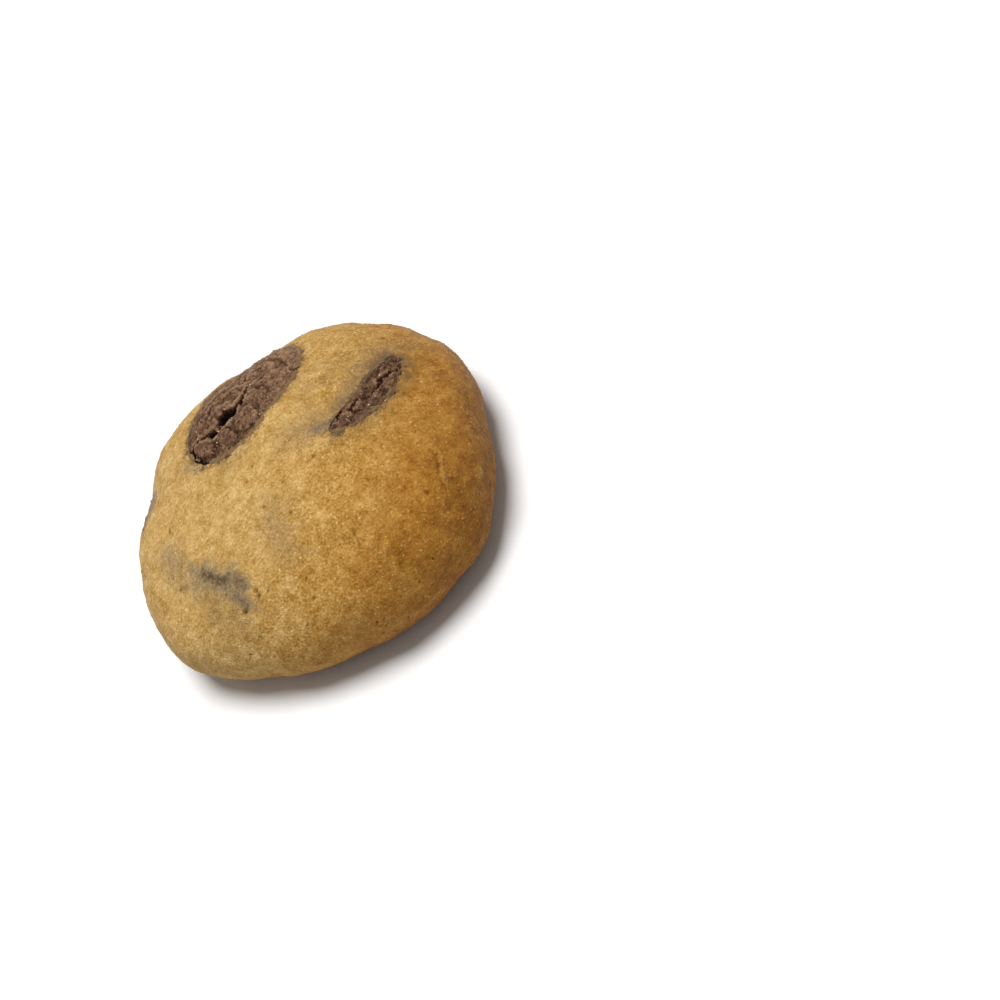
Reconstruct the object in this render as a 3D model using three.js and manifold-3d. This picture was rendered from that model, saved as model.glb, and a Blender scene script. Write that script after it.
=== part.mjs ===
// A plump, round chocolate chip cookie, baked on a flat tray. Three chocolate chunks show in its crust:
// a large cracked one on the far shoulder, a narrow slit of one on the right, and one low on the left flank.
// Millimetres, +Z up. The origin is the middle of the flat base that the cookie rests on.

import * as THREE from 'three';
import { mergeVertices } from 'three/addons/utils/BufferGeometryUtils.js';
import Module from 'manifold-3d';

const wasm = await Module();
wasm.setup();

// Driving sizes of the cookie

const RADIUS = 30.2; // mean radius at the widest ring
const HEIGHT = 22; // from the base to the top of the dome
const WIDEST_HEIGHT = 7.5; // where the flank is widest
const BASE_SHARE = 0.86; // the base's radius as a share of the widest one
const DOME_POWER = 2.2; // 2 is an ellipse, and more is squarer
const FLANK_POWER = 2.2; // the same, for the flank under the widest ring
const TOP_LEAN = { x: 0.7, y: -2.53 }; // how far the top sits off the middle of the base
const MIDDLE = { x: 0.272, y: 0.432 }; // brings the middle of the finished outline to the origin

// The outline is a circle with a few slow waves: lobes round it, and their sizes as shares of the radius
const OUTLINE_WAVES = [
  { lobes: 2, cosine: 0.0119, sine: -0.0043 },
  { lobes: 3, cosine: -0.0084, sine: 0.0048 },
  { lobes: 4, cosine: 0.0086, sine: 0.0106 },
];

// Swells and dips that the dough kept from its scoop: a place, how far each reaches, and how high it rises
const SWELLS = [
  { x: 31.2, y: -1.3, z: 7.7, reach: 6, rise: 0.65 }, // right flank
  { x: 22.4, y: 19.0, z: 11.8, reach: 5, rise: 0.35 }, // far right shoulder
  { x: 11.7, y: 24.5, z: 12.6, reach: 3.5, rise: -1.3 }, // sunk behind the large chunk
  { x: 3.9, y: 26.9, z: 12.6, reach: 4, rise: -0.4 },
  { x: -5.1, y: 25.4, z: 15.3, reach: 5, rise: 0.4 }, // swollen at the chunk's other end
  { x: -13.3, y: 23.2, z: 14.5, reach: 4, rise: 0.6 },
  { x: -19.2, y: 18.7, z: 13.8, reach: 3, rise: -0.75 }, // notch at the side chunk
  { x: -31.6, y: -6.2, z: 7.1, reach: 6, rise: 1.2 }, // the fullest flank, on the left
  { x: 14.7, y: -26.4, z: 3.1, reach: 5, rise: 0.8 }, // low on the near flank
];
const SWELL_FULL_HEIGHT = 3; // swells fade out under this height, so that the base stays flat

// The crust's low unevenness: slow ripples across it, each with its crests' spacing and direction
const RIPPLES = [
  { spacing: 13, heading: 20, height: 0.10 },
  { spacing: 10, heading: 95, height: 0.08 },
  { spacing: 8, heading: 150, height: 0.06 },
];

// Mesh fineness of the dough
const AROUND = 84;
const DOME_RINGS = 22;
const FLANK_RINGS = 7;

// The chunks. Each outline is an oval seen from above, with its long axis turned from +X, one end fuller
// than the other (taper) and its middle line bent sideways (bend).
const CHUNKS = {
  large: {
    x: 2.4, y: 14.6, turn: 13.5, halfLength: 12, halfWidth: 8.7, taper: -0.07, bend: -1.8,
    depth: 5, crown: 0.25, along: 28, across: 14,
    crack: {
      offset: -0.13, slope: 0, hook: 0.33, hookStart: -0.55, hookEnd: -0.8, wave: 0.05, waves: 3,
      halfWidth: 0.75, depth: 0.9, from: -0.97, to: 0.72, lip: 0.3,
      pits: [{ at: -0.36, reach: 0.14, depth: 1.8 }, { at: -0.68, reach: 0.08, depth: 0.9 }],
    },
    nub: { along: -0.8, across: -0.07, radius: 1.7, rise: 0.8 },
  },
  slit: {
    x: 16.9, y: -5.4, turn: 21.5, halfLength: 8.2, halfWidth: 2.55, taper: -0.02, bend: 1.6,
    depth: 3.2, crown: -0.1, along: 22, across: 8,
    crack: {
      offset: 0.08, slope: -0.55, hook: 0, hookStart: -0.5, hookEnd: -0.8, wave: 0.09, waves: 3,
      halfWidth: 0.45, depth: 0.45, from: -0.98, to: 0.95, lip: 0.1,
      pits: [{ at: 0.5, reach: 0.2, depth: 0.6 }],
    },
  },
  side: {
    x: -19.9, y: 16.9, turn: 49.8, halfLength: 3.6, halfWidth: 1.9, taper: 0.1, bend: 0.2,
    depth: 2.4, crown: -0.12, along: 10, across: 6,
  },
};

const RIM_WALL = 0.8; // height of a chunk's upright edge, sunk in the dough
const RIM_SINK = 0.15; // how far a chunk's top edge lies under the crust
const GAP = 0.35; // between a chunk and the pocket that holds it
const POCKET_TOP = 2.5; // how far the shape that cuts a pocket reaches above the crust
const POCKET_CELLS = { along: 18, across: 10 };
const CROWN_EDGE = 0.35; // how soon the crown stands at its full height, coming in from the rim
const CRACK_FADE = { in: 0.15, out: 0.3 }; // over these shares of the half length a crack opens and closes
const LIP = { start: 0.4, full: 1.2, reach: 2.5 }; // where the lips beside a crack rise and die away
const ROW_CROWDING = 1.5; // how strongly a chunk's rows gather at its crack

// Short splits in the crust, each along a line seen from above
const SPLITS = [
  { from: [16.9, -19.2], to: [14.1, -24.9], bow: 0.35, width: 0.7, depth: 0.55 }, // the long crease
  { from: [0.7, -21.3], to: [0.2, -22.3], bow: 0, width: 0.45, depth: 0.4 },
  { from: [0.0, -22.9], to: [-0.5, -23.8], bow: 0.1, width: 0.45, depth: 0.4 },
];
const SPLIT_STEPS = 8;
const SPLIT_ABOVE = 0.6; // how far the shape that cuts a split reaches above the crust
const SPLIT_BLUNTNESS = 0.9; // 1 brings a split to a point at its ends
const SPLIT_FLOOR = 0.1; // its floor's width as a share of its mouth's

// A crumb of dough baked onto the near right flank
const CRUMB = { heading: -50.5, height: 10.6, radius: 1.1, standing: 0.55 };

const DEGREE = Math.PI / 180;
const SMALL_STEP = 1e-3; // for slopes worked out from two near places
const LEAN_PASSES = 12; // enough to settle the dome's lean to well under a micrometre

// The crust's form

// Share of the radius and the height, by the way down the crust: 0 is the top, 1 the widest ring, 2 the base
function profile(down) {
  if (down <= 1) {
    const lean = down * Math.PI / 2;
    const share = Math.pow(Math.sin(lean), 2 / DOME_POWER);
    const rise = Math.pow(Math.max(Math.cos(lean), 0), 2 / DOME_POWER);
    return { share, z: WIDEST_HEIGHT + (HEIGHT - WIDEST_HEIGHT) * rise };
  }
  const reach = WIDEST_HEIGHT / Math.pow(1 - Math.pow(BASE_SHARE, FLANK_POWER), 1 / FLANK_POWER);
  const z = WIDEST_HEIGHT * (2 - down);
  const share = Math.pow(1 - Math.pow((WIDEST_HEIGHT - z) / reach, FLANK_POWER), 1 / FLANK_POWER);
  return { share, z };
}

function outlineRadius(heading) {
  let share = 1;
  for (const wave of OUTLINE_WAVES) {
    share += wave.cosine * Math.cos(wave.lobes * heading) + wave.sine * Math.sin(wave.lobes * heading);
  }
  return RADIUS * share;
}

// The dome without its swells and ripples
function domePoint(heading, down) {
  const { share, z } = profile(down);
  const radius = share * outlineRadius(heading);
  const lean = (z / HEIGHT) ** 2;
  return new THREE.Vector3(
    Math.cos(heading) * radius + TOP_LEAN.x * lean,
    Math.sin(heading) * radius + TOP_LEAN.y * lean,
    z,
  );
}

function domeNormal(heading, down) {
  const step = SMALL_STEP;
  const at = Math.max(down, 2 * step);
  const around = domePoint(heading + step, at).sub(domePoint(heading - step, at));
  const downward = domePoint(heading, Math.min(at + step, 2)).sub(domePoint(heading, at - step));
  return downward.cross(around).normalize();
}

function swellAt(place) {
  let rise = 0;
  for (const swell of SWELLS) {
    const away = (place.x - swell.x) ** 2 + (place.y - swell.y) ** 2 + (place.z - swell.z) ** 2;
    rise += swell.rise * Math.exp(-away / (2 * swell.reach ** 2));
  }
  for (const ripple of RIPPLES) {
    const heading = ripple.heading * DEGREE;
    const across = place.x * Math.cos(heading) + place.y * Math.sin(heading);
    rise += ripple.height * Math.sin((across + place.z / 2) * 2 * Math.PI / ripple.spacing);
  }
  return rise * Math.min(place.z / SWELL_FULL_HEIGHT, 1);
}

// A place on the finished crust, and the way out of it
function crustAt(heading, down) {
  const place = domePoint(heading, down);
  const out = domeNormal(heading, down);
  const top = place.clone().addScaledVector(out, swellAt(place));
  return { top, out };
}

// The crust over a place in plan, found by undoing the dome's lean step by step
function crustOver(x, y) {
  let z = HEIGHT;
  let heading = 0;
  let share = 0;
  for (let pass = 0; pass < LEAN_PASSES; pass += 1) {
    const lean = (z / HEIGHT) ** 2;
    const dx = x - TOP_LEAN.x * lean;
    const dy = y - TOP_LEAN.y * lean;
    heading = Math.atan2(dy, dx);
    share = Math.min(Math.hypot(dx, dy) / outlineRadius(heading), 1);
    const rise = Math.pow(1 - Math.pow(share, DOME_POWER), 1 / DOME_POWER);
    z = WIDEST_HEIGHT + (HEIGHT - WIDEST_HEIGHT) * rise;
  }
  const down = Math.asin(Math.pow(share, DOME_POWER / 2)) / (Math.PI / 2);
  return crustAt(heading, down);
}

// Solids

function geometryOf(places, faces) {
  const geometry = new THREE.BufferGeometry();
  const numbers = places.flatMap((place) => [place.x, place.y, place.z]);
  geometry.setAttribute('position', new THREE.Float32BufferAttribute(numbers, 3));
  geometry.setIndex(faces.flat());
  return mergeVertices(geometry);
}

function solidOf(geometry) {
  return new wasm.Manifold(new wasm.Mesh({
    numProp: 3,
    vertProperties: new Float32Array(geometry.attributes.position.array),
    triVerts: new Uint32Array(geometry.index.array),
  }));
}

function geometryFrom(solid) {
  const mesh = solid.getMesh();
  const geometry = new THREE.BufferGeometry();
  geometry.setAttribute('position', new THREE.BufferAttribute(mesh.vertProperties, mesh.numProp));
  geometry.setIndex(new THREE.BufferAttribute(mesh.triVerts, 1));
  return geometry;
}

// Two sheets over one grid, an upper and a lower one, closed round their edge
function slab(along, across, upperPlace, lowerPlace) {
  const places = [];
  const faces = [];
  const row = across + 1;
  const sheet = (along + 1) * row;
  for (const placeOn of [upperPlace, lowerPlace]) {
    for (let i = 0; i <= along; i += 1) {
      for (let j = 0; j <= across; j += 1) {
        places.push(placeOn(2 * i / along - 1, 2 * j / across - 1));
      }
    }
  }
  for (let i = 0; i < along; i += 1) {
    for (let j = 0; j < across; j += 1) {
      const a = i * row + j;
      const [b, c, d] = [a + row, a + row + 1, a + 1];
      faces.push([a, b, c], [a, c, d]);
      faces.push([sheet + a, sheet + c, sheet + b], [sheet + a, sheet + d, sheet + c]);
    }
  }
  const edge = [];
  for (let i = 0; i < along; i += 1) edge.push(i * row);
  for (let j = 0; j < across; j += 1) edge.push(along * row + j);
  for (let i = along; i > 0; i -= 1) edge.push(i * row + across);
  for (let j = across; j > 0; j -= 1) edge.push(j);
  edge.forEach((a, k) => {
    const b = edge[(k + 1) % edge.length];
    faces.push([a, sheet + a, sheet + b], [a, sheet + b, b]);
  });
  return geometryOf(places, faces);
}

// Dough

function doughDome() {
  const rings = DOME_RINGS + FLANK_RINGS;
  const places = [crustAt(0, 0).top];
  for (let ring = 1; ring <= rings; ring += 1) {
    const down = ring <= DOME_RINGS ? ring / DOME_RINGS : 1 + (ring - DOME_RINGS) / FLANK_RINGS;
    for (let k = 0; k < AROUND; k += 1) {
      places.push(crustAt(2 * Math.PI * k / AROUND, down).top);
    }
  }
  const middleOfBase = places.length;
  places.push(new THREE.Vector3(0, 0, 0));
  const faces = [];
  for (let k = 0; k < AROUND; k += 1) {
    const next = (k + 1) % AROUND;
    faces.push([0, 1 + k, 1 + next]);
    for (let ring = 1; ring < rings; ring += 1) {
      const upper = 1 + (ring - 1) * AROUND;
      const lower = upper + AROUND;
      faces.push([upper + k, lower + k, lower + next], [upper + k, lower + next, upper + next]);
    }
    const last = 1 + (rings - 1) * AROUND;
    faces.push([last + k, middleOfBase, last + next]);
  }
  return solidOf(geometryOf(places, faces));
}

// Chunks

// A square grid's place (u, v) brought to a round disc, so that the rows stay lengthwise
function discPlace(u, v) {
  return [u * Math.sqrt(1 - v * v / 2), v * Math.sqrt(1 - u * u / 2)];
}

function chunkPlan(chunk, x, y, grown) {
  const turn = chunk.turn * DEGREE;
  const along = x * (chunk.halfLength + grown);
  const across = y * (chunk.halfWidth * (1 + chunk.taper * x) + grown) + chunk.bend * x * x;
  return [
    chunk.x + along * Math.cos(turn) - across * Math.sin(turn),
    chunk.y + along * Math.sin(turn) + across * Math.cos(turn),
  ];
}

function bowl(chunk, x, y) {
  return chunk.depth * Math.sqrt(Math.max(1 - x * x - y * y, 0));
}

function smooth(from, to, value) {
  const share = THREE.MathUtils.clamp((value - from) / (to - from), 0, 1);
  return share * share * (3 - 2 * share);
}

// Where the crack crosses the chunk, as a share of its half width, at a share of its half length
function crackLine(crack, x) {
  const hook = crack.hook * smooth(crack.hookStart, crack.hookEnd, x);
  return crack.offset + crack.slope * x + hook + crack.wave * Math.sin(crack.waves * Math.PI * x);
}

function crackDepth(crack, x) {
  const opening = smooth(crack.from, crack.from + CRACK_FADE.in, x);
  const closing = smooth(crack.to, crack.to - CRACK_FADE.out, x);
  let pits = 0;
  for (const pit of crack.pits) {
    pits += pit.depth * Math.exp(-(((x - pit.at) / pit.reach) ** 2));
  }
  return opening * closing * (crack.depth + pits);
}

// How far the chunk's top stands out of the crust
function chunkRise(chunk, x, y) {
  const inside = Math.max(1 - x * x - y * y, 0);
  let rise = -RIM_SINK + (chunk.crown + RIM_SINK) * smooth(0, CROWN_EDGE, inside);
  if (chunk.crack) {
    const { crack } = chunk;
    const away = Math.abs(y - crackLine(crack, x)) * chunk.halfWidth;
    const depth = crackDepth(crack, x);
    const share = Math.min(depth / crack.depth, 1);
    rise -= depth * (1 - smooth(0, crack.halfWidth, away));
    const lip = smooth(LIP.start, LIP.full, away / crack.halfWidth) * Math.exp(-((away / LIP.reach) ** 2));
    rise += crack.lip * share * lip;
  }
  if (chunk.nub) {
    const dx = (x - chunk.nub.along) * chunk.halfLength;
    const dy = (y - chunk.nub.across) * chunk.halfWidth;
    rise += chunk.nub.rise * Math.exp(-(dx * dx + dy * dy) / (chunk.nub.radius ** 2 / 2));
  }
  return rise;
}

// Grid rows crowd together at the crack, so that its walls are steep
function crackedPlace(chunk, u, v) {
  if (!chunk.crack) return discPlace(u, v);
  const line = crackLine(chunk.crack, u) / Math.sqrt(1 - u * u / 2);
  const room = v > 0 ? 1 - line : 1 + line;
  return discPlace(u, line + Math.sign(v) * room * Math.pow(Math.abs(v), ROW_CROWDING));
}

function chunkSolid(chunk) {
  const upper = (u, v) => {
    const [x, y] = crackedPlace(chunk, u, v);
    const { top, out } = crustOver(...chunkPlan(chunk, x, y, 0));
    return top.addScaledVector(out, chunkRise(chunk, x, y));
  };
  const lower = (u, v) => {
    const [x, y] = crackedPlace(chunk, u, v);
    const { top, out } = crustOver(...chunkPlan(chunk, x, y, 0));
    return top.addScaledVector(out, -RIM_SINK - RIM_WALL - bowl(chunk, x, y));
  };
  return slab(chunk.along, chunk.across, upper, lower);
}

function pocketSolid(chunk) {
  const at = (rise) => (u, v) => {
    const [x, y] = discPlace(u, v);
    const { top, out } = crustOver(...chunkPlan(chunk, x, y, GAP));
    return top.addScaledVector(out, rise(x, y));
  };
  const floor = (x, y) => -RIM_SINK - RIM_WALL - GAP - bowl(chunk, x, y);
  return slab(POCKET_CELLS.along, POCKET_CELLS.across, at(() => POCKET_TOP), at(floor));
}

// Splits and the crumb

function splitSolid(split) {
  const start = new THREE.Vector2(...split.from);
  const run = new THREE.Vector2(...split.to).sub(start);
  const aside = new THREE.Vector2(-run.y, run.x).normalize();
  const at = (halfWidth, rise) => (u, v) => {
    const share = (u + 1) / 2;
    const swell = Math.sqrt(1 - SPLIT_BLUNTNESS * u * u);
    const sideways = split.bow * (1 - u * u) + v * halfWidth * swell;
    const { top, out } = crustOver(
      start.x + run.x * share + aside.x * sideways,
      start.y + run.y * share + aside.y * sideways,
    );
    return top.addScaledVector(out, rise * swell);
  };
  const wide = at(split.width, SPLIT_ABOVE);
  const narrow = at(split.width * SPLIT_FLOOR, -split.depth);
  return slab(SPLIT_STEPS, 1, wide, narrow);
}

function crumbSolid() {
  const heading = CRUMB.heading * DEGREE;
  const rise = (CRUMB.height - WIDEST_HEIGHT) / (HEIGHT - WIDEST_HEIGHT);
  const down = Math.acos(Math.pow(rise, DOME_POWER / 2)) / (Math.PI / 2);
  const { top, out } = crustAt(heading, down);
  const crumb = new THREE.IcosahedronGeometry(CRUMB.radius, 1);
  const middle = top.addScaledVector(out, CRUMB.standing - CRUMB.radius);
  crumb.translate(middle.x, middle.y, middle.z);
  crumb.deleteAttribute('normal');
  crumb.deleteAttribute('uv');
  return mergeVertices(crumb);
}

// The cookie

const DOUGH = new THREE.MeshStandardMaterial({ color: 0xc49a5c, roughness: 0.85, metalness: 0 });
const DARK_CHOCOLATE = new THREE.MeshStandardMaterial({ color: 0x6b4c3a, roughness: 0.7, metalness: 0 });

function namedMesh(name, geometry, material) {
  geometry.computeVertexNormals();
  const mesh = new THREE.Mesh(geometry, material);
  mesh.name = name;
  return mesh;
}

function dough() {
  let solid = doughDome().add(solidOf(crumbSolid()));
  for (const chunk of Object.values(CHUNKS)) {
    solid = solid.subtract(solidOf(pocketSolid(chunk)));
  }
  for (const split of SPLITS) {
    solid = solid.subtract(solidOf(splitSolid(split)));
  }
  return geometryFrom(solid);
}

const cookie = new THREE.Group();
cookie.position.set(MIDDLE.x, MIDDLE.y, 0);
cookie.add(namedMesh('cookie_dough', dough(), DOUGH));
for (const [place, chunk] of Object.entries(CHUNKS)) {
  cookie.add(namedMesh(`chocolate_chunk_${place}`, chunkSolid(chunk), DARK_CHOCOLATE));
}

export default cookie;
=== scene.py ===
# %% [markdown]
# # A plump chocolate chip cookie
#
# This lesson dresses one baked cookie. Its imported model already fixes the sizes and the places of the
# dough and of three chocolate chunks, and here each of them gets its real surface: a sandy golden
# crust with stains, creases and pinholes, and matt chocolate with a torn crack through it.
#
# Lengths in this script are millimetres, in the cookie's own frame, and the finished meshes are brought
# to metres at the very end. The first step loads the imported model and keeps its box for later.

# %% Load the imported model
import math
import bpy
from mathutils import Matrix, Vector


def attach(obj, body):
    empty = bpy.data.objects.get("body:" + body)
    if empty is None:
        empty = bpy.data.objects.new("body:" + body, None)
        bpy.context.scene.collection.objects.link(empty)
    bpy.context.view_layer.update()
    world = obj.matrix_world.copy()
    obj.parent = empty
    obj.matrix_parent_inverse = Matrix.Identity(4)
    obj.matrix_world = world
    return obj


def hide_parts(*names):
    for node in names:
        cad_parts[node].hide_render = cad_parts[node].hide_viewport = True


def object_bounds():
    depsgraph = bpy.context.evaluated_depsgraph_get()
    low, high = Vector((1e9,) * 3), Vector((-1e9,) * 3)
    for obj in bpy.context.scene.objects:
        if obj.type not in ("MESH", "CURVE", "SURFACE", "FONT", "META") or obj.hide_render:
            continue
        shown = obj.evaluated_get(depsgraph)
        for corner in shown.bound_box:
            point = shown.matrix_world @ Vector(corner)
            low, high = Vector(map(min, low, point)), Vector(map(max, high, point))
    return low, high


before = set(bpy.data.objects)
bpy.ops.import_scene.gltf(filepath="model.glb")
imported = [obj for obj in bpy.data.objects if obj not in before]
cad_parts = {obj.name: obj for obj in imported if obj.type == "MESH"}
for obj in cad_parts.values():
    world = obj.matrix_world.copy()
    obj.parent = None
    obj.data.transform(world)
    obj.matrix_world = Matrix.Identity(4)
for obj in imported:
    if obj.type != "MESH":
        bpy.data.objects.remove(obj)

from types import SimpleNamespace

import bpy
import numpy as np
from mathutils import Matrix, Vector, noise
from mathutils.bvhtree import BVHTree

CAD_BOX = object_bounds()
print("nodes:", sorted(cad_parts))

# %% [markdown]
# ## The sizes that everything else is worked out from
#
# A scooped ball of dough slumps in the oven to a low dome. Seen from the side its outline is a
# superellipse, a little squarer than an ellipse, and under its widest ring it tucks in to a flat base.
# Seen from above it is a circle with a few slow waves, and here and there the dough swelled or sank.
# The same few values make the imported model, so the crust that is made here lies on it.

# %% Driving sizes
MM = 0.001
RADIUS = 30.2
HEIGHT = 22.0
WIDEST_HEIGHT = 7.5
BASE_SHARE = 0.86
DOME_POWER = 2.2
FLANK_POWER = 2.2
TOP_LEAN = (0.7, -2.53)
MIDDLE = (0.272, 0.432)

OUTLINE_WAVES = [  # lobes, cosine and sine shares
    (2, 0.0119, -0.0043),
    (3, -0.0084, 0.0048),
    (4, 0.0086, 0.0106),
]
SWELLS = [  # place, reach and rise
    ((31.2, -1.3, 7.7), 6.0, 0.65),
    ((22.4, 19.0, 11.8), 5.0, 0.35),
    ((11.7, 24.5, 12.6), 3.5, -1.3),
    ((3.9, 26.9, 12.6), 4.0, -0.4),
    ((-5.1, 25.4, 15.3), 5.0, 0.4),
    ((-13.3, 23.2, 14.5), 4.0, 0.6),
    ((-19.2, 18.7, 13.8), 3.0, -0.75),
    ((-31.6, -6.2, 7.1), 6.0, 1.2),
    ((14.7, -26.4, 3.1), 5.0, 0.8),
    ((27.9, -12.1, 7.7), 4.5, -0.12),
    ((14.1, 17.3, 17.3), 4.0, 0.4),
    ((-25.4, 7.7, 15.0), 4.5, 0.6),
    ((-29.4, -8.0, 12.0), 4.5, 0.3),
]
RIPPLES = [(13.0, 20.0, 0.10), (10.0, 95.0, 0.08), (8.0, 150.0, 0.06)]  # spacing, heading, height
SWELL_FULL_HEIGHT = 3.0
print(f"a cookie {2 * RADIUS:.0f} mm across and {HEIGHT:.0f} mm high")

# %% [markdown]
# ## Writing formulas in nodes
#
# Geometry Nodes and shaders both do sums with Math nodes, one node for each plus or times. Wired by
# hand, a formula of twenty terms is hard to read. So a small class lets a node's output stand in a
# Python formula: each operation adds the Math node for it and hands back its output.


# %% Formulas made of Math nodes
class Quantity:
    """A node's output, which can be used in a formula."""

    def __init__(self, socket):
        self.socket = socket

    def __add__(self, other):
        return maths("ADD", self, other)

    def __sub__(self, other):
        return maths("SUBTRACT", self, other)

    def __rsub__(self, other):
        return maths("SUBTRACT", other, self)

    def __mul__(self, other):
        return maths("MULTIPLY", self, other)

    def __truediv__(self, other):
        return maths("DIVIDE", self, other)

    def __rtruediv__(self, other):
        return maths("DIVIDE", other, self)

    def __pow__(self, other):
        return maths("POWER", self, other)

    __radd__ = __add__
    __rmul__ = __mul__


def feed(slot, item):
    if isinstance(item, Quantity):
        item = item.socket
    if isinstance(item, bpy.types.NodeSocket):
        slot.id_data.links.new(item, slot)  # a socket's id_data is its node tree
    else:
        slot.default_value = item


def node(tree, kind, inputs=(), **settings):
    made = tree.nodes.new(kind)
    for name, value in settings.items():
        setattr(made, name, value)
    for name, item in dict(inputs).items():
        feed(made.inputs[name], item)
    return made


def maths(operation, *items):
    tree = next(item.socket.id_data for item in items if isinstance(item, Quantity))
    made = node(tree, "ShaderNodeMath", dict(enumerate(items)), operation=operation)
    return Quantity(made.outputs[0])


def combined(tree, x, y, z):
    return node(tree, "ShaderNodeCombineXYZ", {"X": x, "Y": y, "Z": z}).outputs[0]


def parts_of(tree, vector):
    split = node(tree, "ShaderNodeSeparateXYZ", {0: vector})
    return [Quantity(split.outputs[k]) for k in range(3)]


def scaled(tree, vector, factor):
    made = node(tree, "ShaderNodeVectorMath", {0: vector, "Scale": factor}, operation="SCALE")
    return made.outputs[0]


print("formulas are ready")

# %% [markdown]
# ## The crust as a rule
#
# A round pastry could be a UV sphere, but its poles crowd the faces together. A subdivided cube has
# none: its top becomes the middle of the dome, its four sides wrap round the flank and its bottom
# becomes the base, all in cells of about 0.3 mm. Geometry Nodes are the natural tool, because the
# dome follows a rule: each grid point is moved to where the formula says.
#
# The tree's inputs are the cookie's own sizes, so one tree gives both a smooth form, to place things
# on, and the rough crust. The fine relief is noise along the normal at three sizes: slow lumps, pebbles
# of about a millimetre and the sandy grain of sugar and flour.

# %% The crust's node tree
CRUST_INPUTS = {
    "Radius": RADIUS,
    "Height": HEIGHT,
    "Widest Height": WIDEST_HEIGHT,
    "Base Share": BASE_SHARE,
    "Dome Power": DOME_POWER,
    "Flank Power": FLANK_POWER,
    "Lean X": TOP_LEAN[0],
    "Lean Y": TOP_LEAN[1],
    "Cap Share": 0.73,  # the part of the radius that the cube's top covers
    "Dome Rows": 0.62,  # the part of the cube's side rows that lies above the widest ring
    "Cells Across": 150,
    "Cells Down": 80,
    "Lump Height": 0.0,
    "Lump Size": 4.0,
    "Pebble Height": 0.0,
    "Pebble Size": 1.6,
    "Grain Height": 0.0,
    "Grain Size": 0.9,
    "Inset": 0.0,
    "Seed": 4.0,
}


def disc_from_square(x, y):
    """A square's place brought to a round disc, with its rows kept lengthwise."""
    return x * (1 - y * y / 2) ** 0.5, y * (1 - x * x / 2) ** 0.5


def dome_place(tree, size, x, y, z):
    """Where the cube's point (x, y, z) lies on the cookie's plain form."""
    widest, cap, rows = size["Widest Height"], size["Cap Share"], size["Dome Rows"]
    dome_power, flank_power = size["Dome Power"], size["Flank Power"]
    disc_x, disc_y = disc_from_square(x, y)
    heading = maths("ARCTAN2", disc_y, disc_x)
    spread = (disc_x * disc_x + disc_y * disc_y) ** 0.5
    row = (1 - z) / 2
    on_base = maths("GREATER_THAN", row, 0.9999)
    cap_lean = maths("ARCSINE", cap ** (dome_power / 2))
    over_cap = maths("MAXIMUM", spread, on_base) * cap
    lean = maths("ARCSINE", over_cap ** (dome_power / 2))
    lean = lean + (math.pi / 2 - cap_lean) * maths("MINIMUM", row / rows, 1.0)
    flank = maths("MAXIMUM", (row - rows) / (1 - rows), 0.0)
    tuck = widest / (1 - size["Base Share"] ** flank_power) ** (1 / flank_power)
    sine = maths("SINE", lean) ** (2 / dome_power)
    cosine = maths("MAXIMUM", maths("COSINE", lean), 0.0) ** (2 / dome_power)
    under = (widest * flank / tuck) ** flank_power
    share = sine * (1 - under) ** (1 / flank_power) * (1 - on_base * (1 - spread))
    height = widest * (1 - flank) + (size["Height"] - widest) * cosine
    waves = 1
    for lobes, cosine_share, sine_share in OUTLINE_WAVES:
        waves = waves + maths("COSINE", heading * lobes) * cosine_share
        waves = waves + maths("SINE", heading * lobes) * sine_share
    reach = size["Radius"] * waves * share
    leaning = (height / size["Height"]) ** 2
    across = maths("COSINE", heading) * reach + size["Lean X"] * leaning
    away = maths("SINE", heading) * reach + size["Lean Y"] * leaning
    return combined(tree, across, away, height)


def lumps(tree, place, size, seed, detail):
    """Noise between minus one and one, with lumps of about the given size."""
    inputs = {"Vector": place, "W": seed, "Scale": 1 / size, "Detail": detail, "Roughness": 0.6}
    texture = node(tree, "ShaderNodeTexNoise", inputs, noise_dimensions="4D")
    return (Quantity(texture.outputs[0]) - 0.5) * 2


def crust_rise(tree, size, place):
    """How far the crust stands out of the plain form: swells, ripples, lumps and grain."""
    x, y, z = parts_of(tree, place)
    pebbles = lumps(tree, place, size["Pebble Size"], size["Seed"] + 5, 1.0)
    grain = lumps(tree, place, size["Grain Size"], size["Seed"] + 7, 2.0)
    rise = lumps(tree, place, size["Lump Size"], size["Seed"], 1.0) * size["Lump Height"] - size["Inset"]
    rise = rise + pebbles * size["Pebble Height"] + grain * size["Grain Height"]
    for (at_x, at_y, at_z), reach, height in SWELLS:
        away = (x - at_x) ** 2 + (y - at_y) ** 2 + (z - at_z) ** 2
        rise = rise + maths("EXPONENT", away * (-0.5 / reach**2)) * height
    for spacing, degrees, height in RIPPLES:
        heading = math.radians(degrees)
        across = x * math.cos(heading) + y * math.sin(heading) + z / 2
        rise = rise + maths("SINE", across * (2 * math.pi / spacing)) * height
    return rise * maths("MINIMUM", z / SWELL_FULL_HEIGHT, 1.0), grain + pebbles * 0.5


def stored_as(tree, geometry, name, value):
    """The geometry with a number kept at each of its points."""
    inputs = {"Geometry": geometry, "Name": name, "Value": value}
    kind = {"data_type": "FLOAT", "domain": "POINT"}
    return node(tree, "GeometryNodeStoreNamedAttribute", inputs, **kind).outputs[0]


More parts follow.
